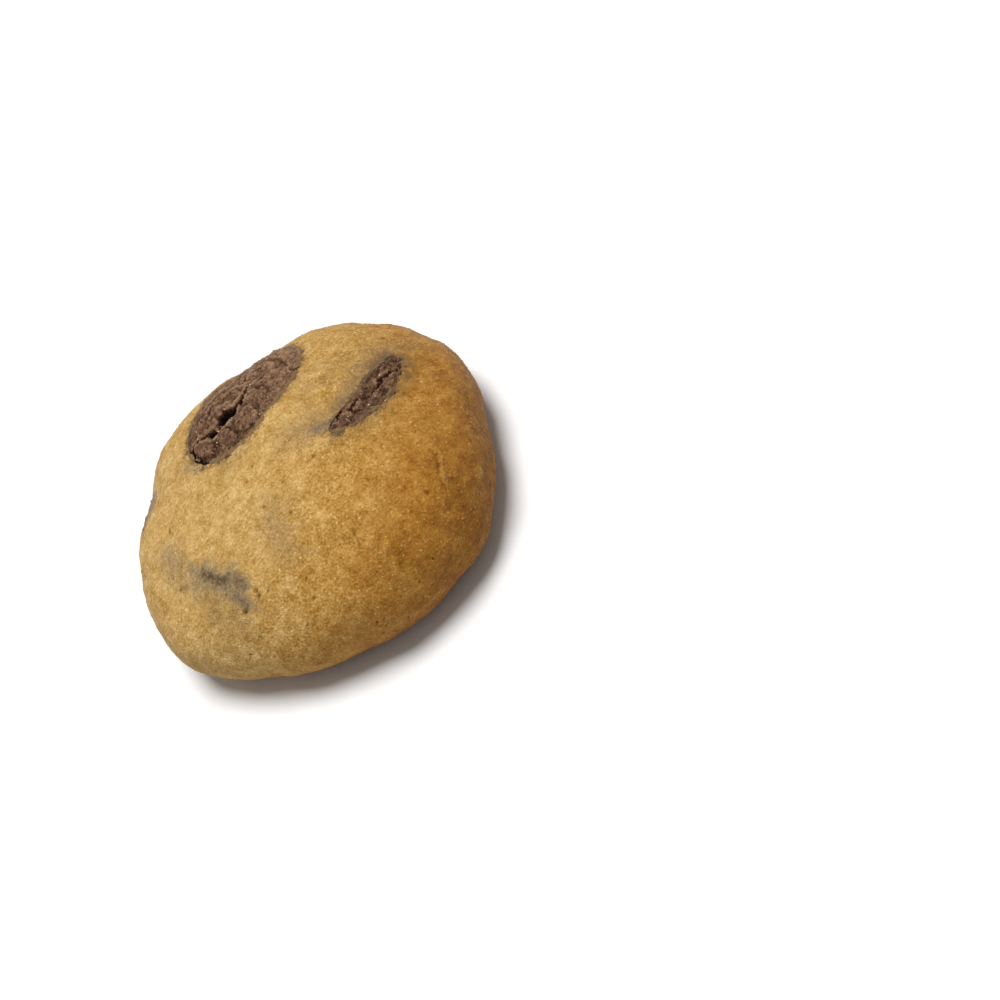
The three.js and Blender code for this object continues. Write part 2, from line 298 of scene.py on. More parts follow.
def new_form(name, inputs, takes_mesh=False):
    """A Geometry Nodes tree with these inputs, its entry node, and each input as a quantity."""
    tree = bpy.data.node_groups.new(name, "GeometryNodeTree")
    tree.interface.new_socket("Geometry", in_out="OUTPUT", socket_type="NodeSocketGeometry")
    if takes_mesh:
        tree.interface.new_socket("Geometry", in_out="INPUT", socket_type="NodeSocketGeometry")
    for label, value in inputs.items():
        kind = "NodeSocketInt" if isinstance(value, int) else "NodeSocketFloat"
        tree.interface.new_socket(label, in_out="INPUT", socket_type=kind).default_value = value
    entry = node(tree, "NodeGroupInput")
    return tree, entry, {label: Quantity(entry.outputs[label]) for label in inputs}


def moved_to(tree, geometry, **where):
    return node(tree, "GeometryNodeSetPosition", {"Geometry": geometry, **where}).outputs[0]


def close_form(tree, geometry, material, smooth):
    """The last nodes of a tree: real faces, their shading and their material."""
    real = node(tree, "GeometryNodeRealizeInstances", {"Geometry": geometry})
    shading = {"Geometry": real.outputs[0], "Shade Smooth": smooth}
    shaded = node(tree, "GeometryNodeSetShadeSmooth", shading)
    coating = {"Geometry": shaded.outputs[0], "Material": material}
    coated = node(tree, "GeometryNodeSetMaterial", coating)
    node(tree, "NodeGroupOutput", {"Geometry": coated.outputs[0]})


def crust_tree(material):
    tree, _, size = new_form("cookie_crust_form", CRUST_INPUTS)
    place = node(tree, "GeometryNodeInputPosition").outputs[0]
    cells = {"Size": (2, 2, 2), "Vertices Z": size["Cells Down"]}
    cells["Vertices X"] = cells["Vertices Y"] = size["Cells Across"]
    cube = node(tree, "GeometryNodeMeshCube", cells).outputs["Mesh"]
    dome = moved_to(tree, cube, Position=dome_place(tree, size, *parts_of(tree, place)))
    rise, grain = crust_rise(tree, size, place)
    out = scaled(tree, node(tree, "GeometryNodeInputNormal").outputs[0], rise)
    crust = moved_to(tree, dome, Offset=out)
    close_form(tree, stored_as(tree, crust, "grain", grain), material, True)
    return tree


# %% Run a node tree and keep its result as a plain mesh
def in_scene(name, data):
    made = bpy.data.objects.new(name, data)
    bpy.context.scene.collection.objects.link(made)
    return made


def mesh_from_tree(tree, name, values, start=None):
    carrier = in_scene(name, start or bpy.data.meshes.new(name))
    modifier = carrier.modifiers.new("form", "NODES")
    modifier.node_group = tree
    for item in tree.interface.items_tree:
        if item.item_type == "SOCKET" and item.in_out == "INPUT" and item.name in values:
            modifier[item.identifier] = values[item.name]
    graph = bpy.context.evaluated_depsgraph_get()
    mesh = bpy.data.meshes.new_from_object(carrier.evaluated_get(graph), depsgraph=graph)
    mesh.name = name
    carrier.modifiers.clear()
    bpy.data.objects.remove(carrier)
    return mesh


def vectors_of(items, field):
    flat = np.empty(3 * len(items), np.float32)
    items.foreach_get(field, flat)
    return flat.reshape(-1, 3).astype(float)


def put_values(mesh, name, values):
    attribute = mesh.attributes.new(name, "FLOAT", "POINT")
    attribute.data.foreach_set("value", np.asarray(values, np.float32))


dough_finish = bpy.data.materials.new("baked_dough_crust")
crust_form = crust_tree(dough_finish)
smooth_crust = mesh_from_tree(crust_form, "smooth_crust", {})
smooth_places = vectors_of(smooth_crust.vertices, "co")
print("smooth crust:", len(smooth_crust.polygons), "faces,", np.round(np.ptp(smooth_places, 0), 2), "mm")

# %% [markdown]
# ## Finding the crust over a place
#
# The chunks, the stains and the creases are all placed as they are seen from above. A ray that is cast
# straight down on the smooth crust finds the height there, and three rays side by side give the slope.
# A bounding volume tree answers such a ray in a few microseconds, so whole meshes can be draped.

# %% Rays onto the smooth crust
crust_rays = BVHTree.FromPolygons(
    [tuple(place) for place in smooth_places],
    [tuple(polygon.vertices) for polygon in smooth_crust.polygons],
)
DOWN = Vector((0, 0, -1))
SLOPE_STEP = 0.3


def height_over(x, y):
    hit = crust_rays.ray_cast(Vector((x, y, 2 * HEIGHT)), DOWN)[0]
    return hit.z if hit else 0.0


def crust_over(plan):
    """Places on the crust over these plan places, and the ways out of it."""
    heights, east, north = (
        np.array([height_over(x + step_x, y + step_y) for x, y in plan])
        for step_x, step_y in ((0, 0), (SLOPE_STEP, 0), (0, SLOPE_STEP))
    )
    out = np.stack([heights - east, heights - north, np.full(len(plan), SLOPE_STEP)], 1)
    out /= np.linalg.norm(out, axis=1, keepdims=True)
    return np.column_stack([plan, heights]), out


print("the top of the crust is at", round(height_over(0, -3), 2), "mm")

# %% [markdown]
# ## Roughness without pictures
#
# Nothing in baked dough is straight. Every edge, crack and stain below is shaken a little by the same
# kind of noise: smooth, seeded and the same on each run.

# %% Noise for mesh code
def rough(places, size, seed, octaves=3):
    """Smooth noise, about minus one to one, with lumps of about this size."""
    shift = Vector((seed * 17.3, seed * 5.1, seed * 11.7))
    return np.array([
        noise.fractal(Vector(place) / size + shift, 0.8, 2.0, octaves) for place in places
    ])


def pebbly(places, size, seed):
    """Round lumps with creases between them, from about minus one half to one."""
    shift = Vector((seed * 3.1, seed * 7.7, seed * 2.3))
    nearest = np.array([noise.voronoi(Vector(place) / size + shift)[0][0] for place in places])
    return 1 - 2.2 * nearest**2


def smooth_step(low_edge, high_edge, values):
    share = np.clip((values - low_edge) / (high_edge - low_edge), 0, 1)
    return share * share * (3 - 2 * share)


# %% [markdown]
# ## The chunks' outlines and their cracks
#
# Each chunk shows as an oval with its middle line bent, which a few named sizes describe. Baking tore
# the large chunk open along its length: a crack with two deep pits that ends round a nub. A crack is
# written as a path on the oval, in shares of its half length and half width, with the crack's half
# width and depth in millimetres at each turn. A fold is the same, but stands up, and round lobes of
# chocolate swell beside the crack. The last row of each chunk says how wide its doughy rim is, how much
# dough veils it, how floury it is, how light it is in all, along it and on its far side, and how far
# its far side dips.

# %% Chunk sizes
PLAIN_CHUNK = dict(
    folds=[], veil=0.0, flour=0.0, tone=0.0, tone_along=0.0, tone_far=0.0, far_dip=0.0
)
CHUNKS = {
    "large": dict(
        x=2.4, y=14.6, turn=13.5, half_length=12.0, half_width=8.7, taper=-0.07, bend=-1.8,
        depth=5.0, crown=0.20, along=230, across=190,
        cracks=[
            [(-0.93, -0.42, 0.45, 0.5), (-0.97, -0.28, 0.55, 0.9), (-0.97, -0.08, 0.65, 1.2),
             (-0.95, 0.12, 0.65, 1.3), (-0.88, 0.25, 0.6, 1.3), (-0.79, 0.28, 0.55, 1.2),
             (-0.72, 0.22, 0.55, 1.2), (-0.68, 0.08, 0.7, 1.6), (-0.62, -0.04, 1.0, 2.4),
             (-0.56, -0.10, 0.8, 2.1), (-0.51, -0.14, 0.22, 0.4), (-0.46, -0.15, 0.25, 0.5),
             (-0.40, -0.12, 1.0, 2.8), (-0.33, -0.13, 1.95, 4.2), (-0.25, -0.17, 1.5, 3.9),
             (-0.18, -0.18, 0.8, 2.5), (-0.14, -0.17, 0.4, 1.1), (-0.09, -0.19, 0.32, 1.0),
             (-0.05, -0.25, 0.5, 1.7), (0.04, -0.16, 0.5, 1.5), (0.11, -0.14, 0.28, 0.8),
             (0.19, -0.09, 0.28, 0.8), (0.27, -0.04, 0.26, 0.6), (0.35, -0.10, 0.2, 0.3)],
            [(0.14, 0.32, 0.5, 0.35), (0.24, 0.19, 0.6, 0.5), (0.36, 0.30, 0.7, 0.6),
             (0.44, 0.18, 0.6, 0.6), (0.55, 0.08, 0.35, 0.3)],
            [(0.65, 0.10, 0.4, 0.2), (0.69, -0.06, 0.5, 0.3), (0.69, -0.22, 0.5, 0.25),
             (0.66, -0.45, 0.3, 0.15)],
            [(0.66, -0.64, 0.3, 0.3), (0.70, -0.72, 0.38, 0.6)],
            [(-0.06, -0.44, 0.3, 0.12), (-0.04, -0.80, 0.4, 0.18), (-0.16, -0.93, 0.4, 0.15)],
            [(-0.44, -0.34, 0.25, 0.25), (-0.47, -0.62, 0.3, 0.2), (-0.40, -0.82, 0.3, 0.15)],
        ],
        folds=[
            [(-0.62, 0.34, 0.5, 0.20), (-0.50, 0.41, 0.6, 0.32), (-0.36, 0.49, 0.6, 0.36),
             (-0.24, 0.46, 0.6, 0.36), (-0.12, 0.33, 0.55, 0.32), (0.09, 0.23, 0.55, 0.30),
             (0.21, 0.02, 0.5, 0.2)],
            [(-0.42, 0.21, 0.5, 0.25), (-0.33, 0.18, 0.55, 0.42), (-0.22, 0.13, 0.55, 0.42),
             (-0.12, 0.03, 0.4, 0.2)],
            [(-0.60, 0.62, 0.6, 0.15), (-0.40, 0.72, 0.7, 0.28), (-0.10, 0.66, 0.7, 0.28),
             (0.15, 0.52, 0.6, 0.2)],
        ],
        lobes=[  # place in shares, half sizes along and across, and rise
            (-0.82, -0.12, 1.75, 2.4, 0.85), (-0.20, -0.66, 2.4, 2.2, 0.60), (-0.58, -0.52, 1.7, 2.1, 0.50),
            (0.11, -0.50, 1.9, 2.2, 0.42), (0.42, -0.48, 2.1, 2.3, 0.32), (-0.53, 0.10, 1.2, 1.1, 0.35),
            (0.80, 0.02, 2.8, 3.2, 0.20), (-0.70, -0.72, 1.3, 1.3, 0.25), (0.30, 0.12, 1.7, 1.2, 0.25),
            (-0.02, 0.08, 1.7, 1.1, 0.30),
        ],
        rim=0.9, veil=0.12, tone=0.10, tone_along=0.80, tone_far=0.40, far_dip=0.25,
    ),
    "slit": dict(
        x=16.9, y=-5.4, turn=21.5, half_length=8.2, half_width=2.55, taper=-0.02, bend=1.6,
        depth=3.2, crown=-0.02, along=150, across=60,
        cracks=[
            [(0.96, -0.28, 0.24, 0.4), (0.89, -0.46, 0.28, 0.6)],
            [(0.79, -0.55, 0.30, 0.8), (0.66, -0.68, 0.36, 1.0), (0.60, -0.50, 0.28, 0.7),
             (0.49, -0.26, 0.28, 0.7), (0.40, -0.08, 0.28, 0.7), (0.33, -0.02, 0.28, 0.8),
             (0.24, -0.18, 0.34, 0.9), (0.11, -0.14, 0.2, 0.4), (-0.15, 0.0, 0.2, 0.3)],
            [(-0.17, -0.05, 0.2, 0.4), (-0.22, 0.38, 0.25, 0.6), (-0.29, 0.48, 0.3, 0.8),
             (-0.39, 0.36, 0.34, 0.9), (-0.48, 0.30, 0.28, 0.7), (-0.52, 0.10, 0.22, 0.5),
             (-0.48, -0.20, 0.2, 0.4), (-0.42, -0.50, 0.2, 0.3)],
            [(-0.46, 0.84, 0.26, 0.5), (-0.59, 0.72, 0.32, 0.8), (-0.71, 0.62, 0.34, 0.9),
             (-0.81, 0.56, 0.34, 0.9), (-0.93, 0.36, 0.32, 0.8), (-1.03, 0.20, 0.28, 0.5)],
        ],
        lobes=[
            (-0.70, 0.05, 1.7, 1.1, 0.25), (-0.35, -0.02, 1.0, 0.9, 0.28), (-0.12, -0.42, 1.8, 0.9, 0.22),
            (0.35, -0.60, 1.6, 0.8, 0.18), (0.10, 0.48, 1.8, 0.9, 0.15), (0.62, 0.10, 1.9, 1.0, 0.12),
        ],
        rim=0.3, tone=-0.60, tone_along=-0.15,
    ),
    "side": dict(
        x=-19.9, y=16.9, turn=49.8, half_length=3.6, half_width=1.9, taper=0.1, bend=0.2,
        depth=2.4, crown=-0.12, along=80, across=48,
        cracks=[
            [(-0.75, 0.20, 0.22, 0.3), (-0.45, 0.45, 0.3, 0.7), (-0.10, 0.30, 0.4, 1.0),
             (0.20, 0.50, 0.3, 0.8), (0.60, 0.35, 0.22, 0.3)],
        ],
        lobes=[(-0.35, -0.10, 1.5, 1.0, 0.22), (0.40, 0.0, 1.4, 1.0, 0.28), (0.05, 0.75, 1.4, 0.6, 0.20)],
        rim=0.9, veil=0.1, flour=0.9,
    ),
}
CHUNKS = {name: SimpleNamespace(**{**PLAIN_CHUNK, **chunk}) for name, chunk in CHUNKS.items()}
RIM_SINK = 0.06  # how far the rim lies under the crust's plain form
RIM_DEPTH = 0.6  # how thick the chunk is at its rim
CROWN_EDGE = 0.35
SKIN_UNDER_CRUST = 0.5  # how far each chunk's skin runs on under the dough
SKIN_DIP = 0.4  # and how far it dips there
FAR_OFF = 50.0  # further than any place on the cookie


# %% Chunk functions
def plan_of(chunk, x, y, grown=0.0):
    """Plan places for shares x and y of a chunk's half length and half width."""
    turn = math.radians(chunk.turn)
    along = x * (chunk.half_length + grown)
    across = y * (chunk.half_width * (1 + chunk.taper * x) + grown) + chunk.bend * x * x
    return np.stack([
        chunk.x + along * math.cos(turn) - across * math.sin(turn),
        chunk.y + along * math.sin(turn) + across * math.cos(turn),
    ], -1)


def shares_of(chunk, plan):
    """The way back: shares x and y for plan places."""
    turn = math.radians(chunk.turn)
    dx, dy = plan[:, 0] - chunk.x, plan[:, 1] - chunk.y
    x = (dx * math.cos(turn) + dy * math.sin(turn)) / chunk.half_length
    across = dy * math.cos(turn) - dx * math.sin(turn) - chunk.bend * x * x
    return x, across / (chunk.half_width * np.clip(1 + chunk.taper * x, 0.5, 1.5))


def outside_of(chunk, x, y):
    """Millimetres outside the chunk's outline, negative within it."""
    spread = np.hypot(x, y)
    reach = chunk.half_width * chunk.half_length * spread
    reach = reach / np.maximum(np.hypot(x * chunk.half_width, y * chunk.half_length), 1e-6)
    return (spread - 1) * reach


def along_paths(chunk, paths, x, y):
    """How deep these paths are at the shares x and y, and how far off the nearest one is, in mm."""
    place = np.stack([x * chunk.half_length, y * chunk.half_width], 1)
    depth = np.zeros(len(place))
    off = np.full(len(place), FAR_OFF)
    for path in paths:
        turns = np.array(path) * (chunk.half_length, chunk.half_width, 1, 1)
        for start, end in zip(turns[:-1], turns[1:]):
            run = end[:2] - start[:2]
            share = np.clip((place - start[:2]) @ run / (run @ run), 0, 1)
            away = np.hypot(*(place - start[:2] - share[:, None] * run).T)
            half_width = start[2] + share * (end[2] - start[2])
            deep = start[3] + share * (end[3] - start[3])
            depth = np.maximum(depth, deep * (1 - smooth_step(0.25, 1.05, away / half_width)))
            off = np.minimum(off, away)
    return depth, off


def chunk_level(chunk, x, y):
    """The chunk's top over the crust's plain form, without its lobes, folds and cracks."""
    inside = np.maximum(1 - x * x - y * y, 0)
    level = -RIM_SINK + (chunk.crown + RIM_SINK) * smooth_step(0, CROWN_EDGE, inside)
    return level - SKIN_DIP * smooth_step(-0.05, SKIN_UNDER_CRUST, outside_of(chunk, x, y))


def lobe_rise(chunk, x, y):
    """Round lobes that meet in creases: at each place the highest one counts."""
    rise = np.zeros(len(x))
    for at_x, at_y, half_along, half_across, height in chunk.lobes:
        dx = (x - at_x) * chunk.half_length / half_along
        dy = (y - at_y) * chunk.half_width / half_across
        rise = np.maximum(rise, height * np.clip(1 - dx * dx - dy * dy, 0, 1) ** 0.5)
    return rise


def bowl_depth(chunk, spread):
    """How deep the chunk's hidden underside lies, from its rim to its middle."""
    return RIM_DEPTH + (chunk.depth - RIM_DEPTH) * (1 - np.clip(spread, 0, 1) ** 3)


print("chunks:", ", ".join(CHUNKS))

# %% [markdown]
# ## The finished crust
#
# The tree is run again with its lumps and grain switched on. Mesh code then adds what sits in one
# place only: the pockets that hold the chunks, a long crease with a flaky ridge beside it, short
# splits, pinholes and a crumb that stuck to the flank. What the colour needs is stored beside the
# shape as attributes: where chocolate stains the dough grey or brown, where a chunk's edge shows
# through it, where pinholes, the crease and the splits get painted shade, and where a pocket leaves
# no room for crumbs.

# %% Marks in the crust
CREASE = [(16.9, -19.4), (16.8, -20.6), (15.9, -21.8), (15.1, -22.8), (14.5, -24.0), (14.2, -24.8)]
SPLITS = [[(0.7, -21.3), (0.2, -22.3)], [(0.0, -22.9), (-0.5, -23.8)]]
CREASE_DEPTH, CREASE_WIDTH = 0.30, 0.28
RIDGE_AWAY, RIDGE_WIDTH, RIDGE_RISE = 0.48, 0.36, 0.20
SPLIT_DEPTH, SPLIT_WIDTH = 0.35, 0.25
CRUMB_HEADING, CRUMB_HEIGHT = -50.5, 10.6
CRUMB_WIDTH, CRUMB_RISE = 0.85, 0.55
PINHOLES = [  # place and size
    ((-15.5, -15.7), 0.34), ((-15.9, -16.5), 0.34), ((-18.9, -15.9), 0.38), ((-19.3, 5.4), 0.32),
    ((4.3, -7.9), 0.30), ((3.0, -7.9), 0.27), ((6.6, -11.9), 0.30), ((6.0, -11.6), 0.26),
    ((-1.7, -7.2), 0.26), ((-6.2, -7.9), 0.28), ((-5.6, -1.7), 0.26), ((-4.0, -12.3), 0.25),
    ((2.2, 2.4), 0.30), ((0.5, 4.1), 0.32), ((12.0, -24.1), 0.30), ((7.2, -17.6), 0.28),
]
LOOSE_PINHOLES, LOOSE_OVER = 110, 6.0
LOOSE_SIZES = (0.10, 0.20)
STAINS = [  # from, to, reach and strength of chocolate that shows grey through the dough
    ((-20.4, -3.8), (-19.4, -6.9), 1.1, 0.65),
    ((-19.6, -6.7), (-18.1, -10.6), 1.9, 0.90),
    ((-16.6, -12.0), (-16.4, -14.0), 1.3, 0.84),
    ((-18.2, -13.4), (-17.9, -15.9), 1.2, 0.78),
    ((-21.2, -6.4), (-18.4, -10.6), 2.0, 0.50),
    ((-18.4, -10.6), (-17.6, -14.2), 1.9, 0.62),
    ((-21.4, 2.5), (-22.0, -1.0), 2.3, 0.40),
    ((-22.5, -3.5), (-21.6, -6.5), 2.1, 0.34),
    ((-19.6, -13.6), (-20.4, -16.4), 1.9, 0.26),
    ((-6.2, -10.0), (-8.4, -16.0), 2.6, 0.26),
    ((-21.0, -10.2), (-19.0, -13.2), 1.9, 0.26),
    ((6.9, -4.0), (9.1, -5.3), 1.3, 0.64),
    ((5.4, -2.6), (9.2, -4.6), 2.4, 0.36),
    ((-9.6, 8.3), (-10.8, 12.0), 0.9, 0.40),
    ((24.4, 1.0), (19.0, 0.4), 2.2, 0.26),
    ((19.0, 0.2), (10.5, -4.0), 2.2, 0.34),
    ((3.9, -1.2), (8.6, -2.4), 2.6, 0.28),
    ((6.0, -2.5), (12.5, 6.5), 3.6, 0.12),
]
SMEARS = [  # the same for chocolate that only browns the dough
    ((24.4, -3.0), (22.2, -6.6), 1.9, 0.62),
    ((22.2, -6.6), (18.5, -7.8), 1.6, 0.46),
    ((16.8, -9.4), (9.6, -9.0), 2.1, 0.34),
    ((21.6, 3.8), (16.4, 3.6), 3.0, 0.24),
    ((21.0, 2.2), (25.0, 2.6), 2.6, 0.20),
    ((7.2, -4.4), (9.2, -5.2), 1.2, 0.45),
    ((23.2, 0.4), (20.0, -0.6), 1.3, 0.72),
    ((20.0, -0.6), (15.0, -2.0), 0.9, 0.40),
    ((13.4, -2.9), (11.4, -3.7), 0.9, 0.62),
    ((25.6, 0.6), (26.6, -1.6), 2.2, 0.24),
    ((-2.4, 4.0), (-6.2, 3.8), 1.7, 0.34),
    ((-22.9, -12.0), (-23.5, -14.2), 2.1, 0.26),
]


def lifted(points):
    """Plan points set down on the crust, as 3-D places."""
    return crust_over(np.array(points, float))[0]


def away_from_line(places, line):
    """Distance of each place from a line of 3-D points, and which side of it the place is on in plan."""
    best = np.full(len(places), 1e9)
    side = np.zeros(len(places))
    for start, end in zip(line[:-1], line[1:]):
        run = end - start
        share = np.clip((places - start) @ run / (run @ run), 0, 1)
        offset = places - (start + share[:, None] * run)
        distance = np.linalg.norm(offset, axis=1)
        nearer = distance < best
        best = np.where(nearer, distance, best)
        side = np.where(nearer, np.sign(run[0] * offset[:, 1] - run[1] * offset[:, 0]), side)
    return best, side


# %% The crust with its lumps and grain
rough_values = {"Lump Height": 0.24, "Pebble Height": 0.15, "Grain Height": 0.11, "Inset": 0.16}
crust_mesh = mesh_from_tree(crust_form, "cookie_crust", rough_values)
places = vectors_of(crust_mesh.vertices, "co")
outward = vectors_of(crust_mesh.vertex_normals, "vector")
upper = places[:, 2] > WIDEST_HEIGHT
rise = np.zeros(len(places))
# One of these marks darkens pits and grooves in colour: painted shade.
marks = {name: np.zeros(len(places)) for name in ("cocoa", "halo", "smear", "pit_shade", "flaky", "pocket")}
slow_shake = rough(places, 2.6, 3)
quick_shake = rough(places, 0.8, 4, 2)


def mark(name, values):
    """A mark is as strong as the strongest thing that makes it."""
    marks[name] = np.maximum(marks[name], values)


def bell(away, width):
    return np.exp(-((away / width) ** 2))


print("rough crust:", len(places), "points")

# %% Pockets for the chunks
HALO_REACH = 1.15
POCKET_ROOM = 0.25
for chunk in CHUNKS.values():
    x, y = shares_of(chunk, places[:, :2])
    outside = outside_of(chunk, x, y) + 1.2 * slow_shake + 1.3 * quick_shake + POCKET_ROOM
    outside = np.where(upper, outside, FAR_OFF)
    pressed = smooth_step(0.15, -0.45, outside)
    rise -= pressed * (bowl_depth(chunk, np.hypot(x, y)) + POCKET_ROOM)
    rise += (1 - pressed) * min(chunk.crown, 0.0) * smooth_step(1.2, 0.0, outside)
    mark("pocket", smooth_step(0.25, -0.1, outside))
    soft_outside = outside - 0.6 * slow_shake - 0.9 * quick_shake
    mark("halo", 0.95 * np.exp(-((np.clip(soft_outside, 0, None) / HALO_REACH) ** 1.4)))
print("points in pockets:", int((marks["pocket"] > 0.5).sum()))

# %% Stains, crease, splits, pinholes and crumb
def stain_share(start, end, reach, strength):
    """How strongly one stain shows at each place on the crust."""
    away, _ = away_from_line(places, lifted([start, end]))
    soft_edge = np.clip(away / reach * (1 + 0.5 * slow_shake) + 0.3 * quick_shake, 0, None)
    return upper * strength * np.exp(-soft_edge**2)


for stain in STAINS:
    mark("cocoa", stain_share(*stain))
for line in SMEARS:
    mark("smear", stain_share(*line))

away, side = away_from_line(places, lifted(CREASE))
away = away + 0.25 * quick_shake
rise -= CREASE_DEPTH * bell(away, CREASE_WIDTH) * (side <= 0)
ridge = bell(away - RIDGE_AWAY, RIDGE_WIDTH) * (side > 0) * np.clip(0.7 + 1.6 * quick_shake, 0.1, 1.2)
rise += RIDGE_RISE * ridge
mark("flaky", 0.45 * ridge)
# The crease's groove is darkened in colour as painted shade.
mark("pit_shade", 0.5 * bell(away, 0.25) * (side <= 0))
for split in SPLITS:
    away, _ = away_from_line(places, lifted(split))
    rise -= SPLIT_DEPTH * bell(away, SPLIT_WIDTH)
    # Each split is darkened in colour as painted shade.
    mark("pit_shade", 0.8 * bell(away, 0.22))

holes = list(zip(lifted([plan for plan, _ in PINHOLES]), [size for _, size in PINHOLES]))
picker = np.random.default_rng(11)
for k in picker.choice(np.flatnonzero(places[:, 2] > LOOSE_OVER), LOOSE_PINHOLES, replace=False):
    holes.append((places[k], picker.uniform(*LOOSE_SIZES)))
for place, size in holes:
    near = np.flatnonzero(np.abs(places - place).max(1) < 1.0)
    away = np.linalg.norm(places[near] - place, axis=1) * (1 + 0.5 * quick_shake[near])
    # Each pinhole is sunk and darkened in colour as painted shade.
    rise[near] -= 1.3 * size * bell(away, size)
    marks["pit_shade"][near] = np.maximum(marks["pit_shade"][near], min(1.0, 4 * size) * bell(away, size))

heading = math.radians(CRUMB_HEADING)
crumb_way = Vector((math.cos(heading), math.sin(heading), 0))
crumb = crust_rays.ray_cast(Vector((0, 0, CRUMB_HEIGHT)) + crumb_way * 2 * RADIUS, -crumb_way)[0]
crumb_share = bell(np.linalg.norm(places - np.array(crumb), axis=1), CRUMB_WIDTH)
rise += crumb_share * (CRUMB_RISE + 0.3 * quick_shake)
mark("flaky", 0.6 * crumb_share)
print("holes:", len(holes), "crumb at", [round(v, 1) for v in crumb])

# %% The flat underside, pitted by the air under it
EASE = 0.35
CRUMB_SPARE = 0.12
base = places[:, 2] < 0.01
pits = 0.10 * np.clip(rough(places, 2.2, 8), 0, 1)
pits += 0.12 * np.clip(rough(places, 0.9, 9), 0.1, 1)
moved = places + outward * rise[:, None]
moved[base] = places[base] + pits[base, None] * (0, 0, 1)


def kept_inside(points, spare):
    """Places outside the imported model's box, less a little to spare, are eased back into it."""
    low_corner, high_corner = (np.array(corner) / MM - (*MIDDLE, 0) for corner in CAD_BOX)
    low_corner[2] = -FAR_OFF  # the base may lie on the floor
    for way, corner in ((1, high_corner), (-1, low_corner)):
        room = way * (corner - points) - spare
        eased = EASE * np.exp((np.minimum(room, EASE) - EASE) / EASE)
        points = corner - way * (spare + np.where(room < EASE, eased, room))
    return points


moved = kept_inside(moved, CRUMB_SPARE)
crust_mesh.vertices.foreach_set("co", moved.astype(np.float32).ravel())
crust_mesh.update()
print("underside pits up to", round(float(pits[base].max()), 2), "mm")

# %% [markdown]
# ## Browning
#
# The oven browned one side more than the other, and the rim near the base most. Those are slow changes
# across the whole cookie, so they are worked out from each point's place, and the small changes are
# left to the material's noise.

# %% Browning, stored on the crust
BROWN_SIDE = (0.60, -0.575, -0.575)
FRONT = (-0.707, -0.5, -0.5)
BROWN_REACH = 28.0
LEAST_BROWN = 0.06
from_middle = (places - (0, 0, HEIGHT / 2)) / BROWN_REACH
browning = smooth_step(-0.5, 1.1, from_middle @ BROWN_SIDE + 0.10 * rough(places, 9.0, 5, 2))
browning = LEAST_BROWN + (1 - LEAST_BROWN) * browning
browning += 0.35 * smooth_step(6.5, 0.5, places[:, 2]) + 0.15 * base
browning += 0.09 * smooth_step(0.55, 0.95, from_middle @ FRONT)
put_values(crust_mesh, "browning", browning)
for name, values in marks.items():
    put_values(crust_mesh, name, np.clip(values, 0, 1))
print("browning from", round(browning.min(), 2), "to", round(browning.max(), 2))

# %% [markdown]
# ## The chocolate chunks
#
# Baked chocolate dries to a matt, crumbly skin. Each chunk is a grid in the shape of its outline,
# draped on the crust and roughened: the cracks are looked up at places that noise has shifted, which
# makes their edges jagged, and low lumps, pebbles and flakes cover the rest. Its skin runs on under the
# dough, and rings that get smaller close it underneath, so that the mesh is a solid. What stands out of
# its surroundings is marked, because the finish paints it lighter, partly as dust and partly as a
# painted highlight, and what lies lower darker, as painted shade. The depth of each crack is kept too,
# and the finish paints deeper cracks darker, as painted shade.

# %% Chunk meshes
BOWL_RINGS = (0.98, 0.9, 0.7, 0.4)
WAVES = (2.4, 0.16)  # size and rise of each kind of relief on the skin
LUMPS = (1.7, 0.14)
PEBBLES = (0.75, 0.09)
SKIN_GRAIN = (0.5, 0.12)
FLAKE_SIZE = np.array([2.6, 0.7, 1.0])
FLAKE_RISE = 0.20
PROUD_REACH = 7  # a place's height is held against the average of so many cells on each side
PROUD_FULL = 0.12
SKIN_SPARE = 0.02
# A crack this deep gets the darkest painted shade in the finish.
CRACK_DARK = 1.5  # a crack this deep is as dark as any
CRUMBS_REACH = 2.4  # loose crumbs lie this near a crack


def chunk_grid(chunk):
    """Shares x and y over the chunk's oval, row by row."""
    u, v = np.meshgrid(
        np.linspace(-1, 1, chunk.along + 1), np.linspace(-1, 1, chunk.across + 1), indexing="ij"
    )
    u, v = u.ravel(), v.ravel()
    return u * np.sqrt(1 - v * v / 2), v * np.sqrt(1 - u * u / 2)


def grid_faces(along, across):
    """The grid's faces, and its edge points in order."""
    point = np.arange((along + 1) * (across + 1)).reshape(along + 1, across + 1)
    corners = [point[:-1, :-1], point[1:, :-1], point[1:, 1:], point[:-1, 1:]]
    edge = np.concatenate([point[:-1, 0], point[-1, :-1], point[:0:-1, -1], point[0, :0:-1]])
    return np.stack(corners, -1).reshape(-1, 4).tolist(), edge.tolist()


def bowl(chunk, edge_x, edge_y):
    """Rings of places under the chunk, from its rim to the middle, and the lowest place."""
    rings = []
    for share in BOWL_RINGS:
        plan = plan_of(chunk, edge_x * share, edge_y * share, SKIN_UNDER_CRUST * share)
        place, out = crust_over(plan)
        rings.append(place - out * bowl_depth(chunk, share))
    place, out = crust_over(plan_of(chunk, np.zeros(1), np.zeros(1)))
    return rings, place - out * bowl_depth(chunk, 0.0)


def averaged(grid, reach):
    """Each value of a grid made the average of those round it."""
    kernel = np.full(2 * reach + 1, 1 / (2 * reach + 1))
    for axis in range(2):
        edges = [(reach, reach) if axis == k else (0, 0) for k in range(2)]
        padded = np.pad(grid, edges, mode="edge")
        grid = np.apply_along_axis(np.convolve, axis, padded, kernel, mode="valid")
    return grid


